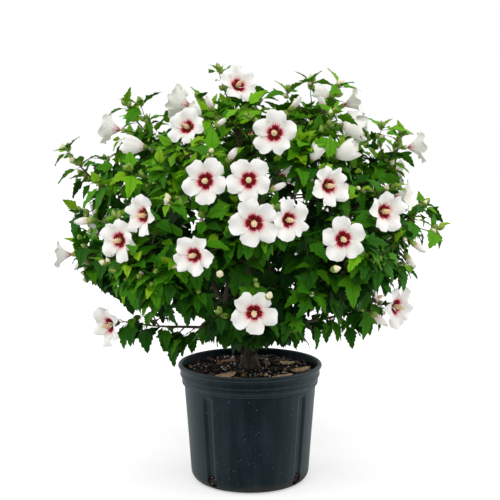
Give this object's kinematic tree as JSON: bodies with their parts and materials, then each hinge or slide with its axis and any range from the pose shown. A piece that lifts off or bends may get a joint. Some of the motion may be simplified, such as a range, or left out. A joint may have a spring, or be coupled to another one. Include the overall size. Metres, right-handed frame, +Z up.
{
  "type": "hibiscus shrub in a nursery pot",
  "caption": "Potted hibiscus shrub: a round crown of lobed leaves and white, red-eyed blooms on slim woody stems, standing in a dark fluted nursery pot.",
  "frame": {"origin": "middle of the pot's flat underside, on the surface that the pot stands on", "axes": "+Z up along the pot's axis, -Y towards the front that the blooms mostly face, +X to the right seen from the front"},
  "size_m": [0.7653, 0.6668, 0.8109],
  "materials": {
    "pot_plastic": "satin dark slate-grey moulded plastic, scuffed and dusty",
    "potting_soil": "matte potting mix with bark chips and white perlite",
    "bark": "matte grey-brown bark, greener towards the tips",
    "foliage": "soft satin mid-green leaves, yellow-green when young",
    "petal": "matte white petals with a crimson eye"
  },
  "bodies": {
    "root": {"pot": "pot_plastic", "soil": "potting_soil", "trunk": "bark", "stem_back_left": "bark", "stem_back_right": "bark", "stem_centre": "bark", "stem_front_left": "bark", "stem_front_right": "bark", "stem_left": "bark", "stem_right": "bark", "bough_high_back": "bark", "bough_high_front_left": "bark", "bough_high_front_right": "bark", "bough_high_left": "bark", "bough_high_right": "bark", "bough_low_back": "bark", "bough_low_front": "bark", "bough_low_left": "bark", "bough_low_right": "bark", "bough_middle_back": "bark", "bough_middle_front": "bark", "bough_upper_left": "bark", "bough_upper_right": "bark", "foliage_back_left": "foliage", "foliage_back_right": "foliage", "foliage_centre": "foliage", "foliage_front_left": "foliage", "foliage_front_right": "foliage", "foliage_high_back": "foliage", "foliage_high_front_left": "foliage", "foliage_high_front_right": "foliage", "foliage_high_left": "foliage", "foliage_high_right": "foliage", "foliage_left": "foliage", "foliage_low_back": "foliage", "foliage_low_front": "foliage", "foliage_low_left": "foliage", "foliage_low_right": "foliage", "foliage_middle_back": "foliage", "foliage_middle_front": "foliage", "foliage_right": "foliage", "foliage_upper_left": "foliage", "foliage_upper_right": "foliage"}
  },
  "joints": []
}
